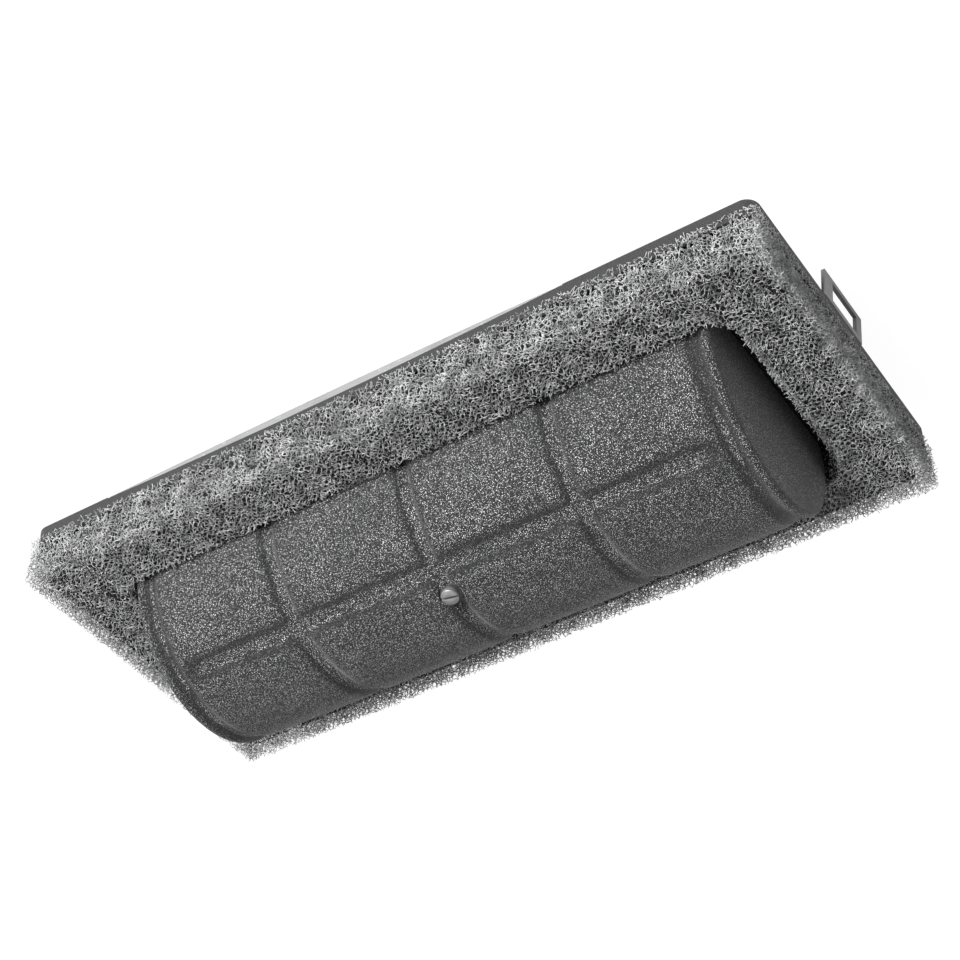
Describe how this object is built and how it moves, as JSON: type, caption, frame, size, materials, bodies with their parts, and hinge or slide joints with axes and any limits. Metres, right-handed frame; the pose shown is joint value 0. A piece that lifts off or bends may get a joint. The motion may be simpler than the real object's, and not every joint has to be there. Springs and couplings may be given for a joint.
{
  "type": "air filter housing",
  "caption": "Small-engine air filter housing: sheet-metal base with outlet and catch loops, lift-off flocked tray, open-cell foam surround and grooved filter dome.",
  "frame": {"origin": "centre of the footprint, on the gasket's lower face", "axes": "+Z out of the dome's crest, +X along the length towards the right catch loop, +Y towards the side with the screw"},
  "size_m": [0.232, 0.104, 0.06],
  "materials": {
    "flocked_tray": "dark grey short flock on a moulded tray",
    "coarse_foam": "open-cell reticulated polyurethane foam",
    "flocked_mesh": "fine flocked mesh skin, speckled grey",
    "sheet_metal": "light grey zinc-plated sheet, satin",
    "wire_gauze": "fine woven steel wire",
    "frame_steel": "plain steel strap",
    "fastener_steel": "zinc-plated fasteners",
    "brass": "turned brass",
    "seal_rubber": "closed-cell rubber sponge",
    "gasket_fibre": "graphite-faced gasket sheet"
  },
  "bodies": {
    "base": {"outlet_gasket": "gasket_fibre", "outlet_box": "sheet_metal", "outlet_bellmouth": "sheet_metal", "mounting_bushes": "fastener_steel", "box_rivets": "fastener_steel", "base_pan": "sheet_metal", "catch_loop_right": "sheet_metal", "catch_loop_left": "sheet_metal", "loop_rivets": "fastener_steel"},
    "element": {"element_tray": "flocked_tray", "tray_seal": "seal_rubber", "foam_surround": "coarse_foam", "filter_dome": "flocked_mesh", "inner_gauze": "wire_gauze", "centre_hoop": "frame_steel", "side_hoops": "frame_steel", "lengthwise_stringer": "frame_steel", "stringer_rivets": "fastener_steel", "base_frame": "frame_steel", "frame_rivets": "fastener_steel", "screw_boss": "brass"},
    "screw_lifter": {"screw_washer": "fastener_steel"},
    "screw": {"dome_screw": "fastener_steel"}
  },
  "joints": [
    {"name": "element_lift", "type": "slide", "parent": "base", "child": "element", "axis": [0, 0, 1], "range_m": [0, 0.05]},
    {"name": "screw_rise", "type": "slide", "parent": "element", "child": "screw_lifter", "axis": [0, 0.2756, 0.9613], "range_m": [0, 0.003]},
    {"name": "screw_turn", "type": "hinge", "parent": "screw_lifter", "child": "screw", "pos_m": [-0.0015, 0.00948, 0.05807], "axis": [0, 0.2756, 0.9613], "range_deg": [0, 2160]}
  ],
  "couplings": [
    {"joint": "screw_turn", "follows": "screw_rise", "rad_per_m": 12566}
  ]
}
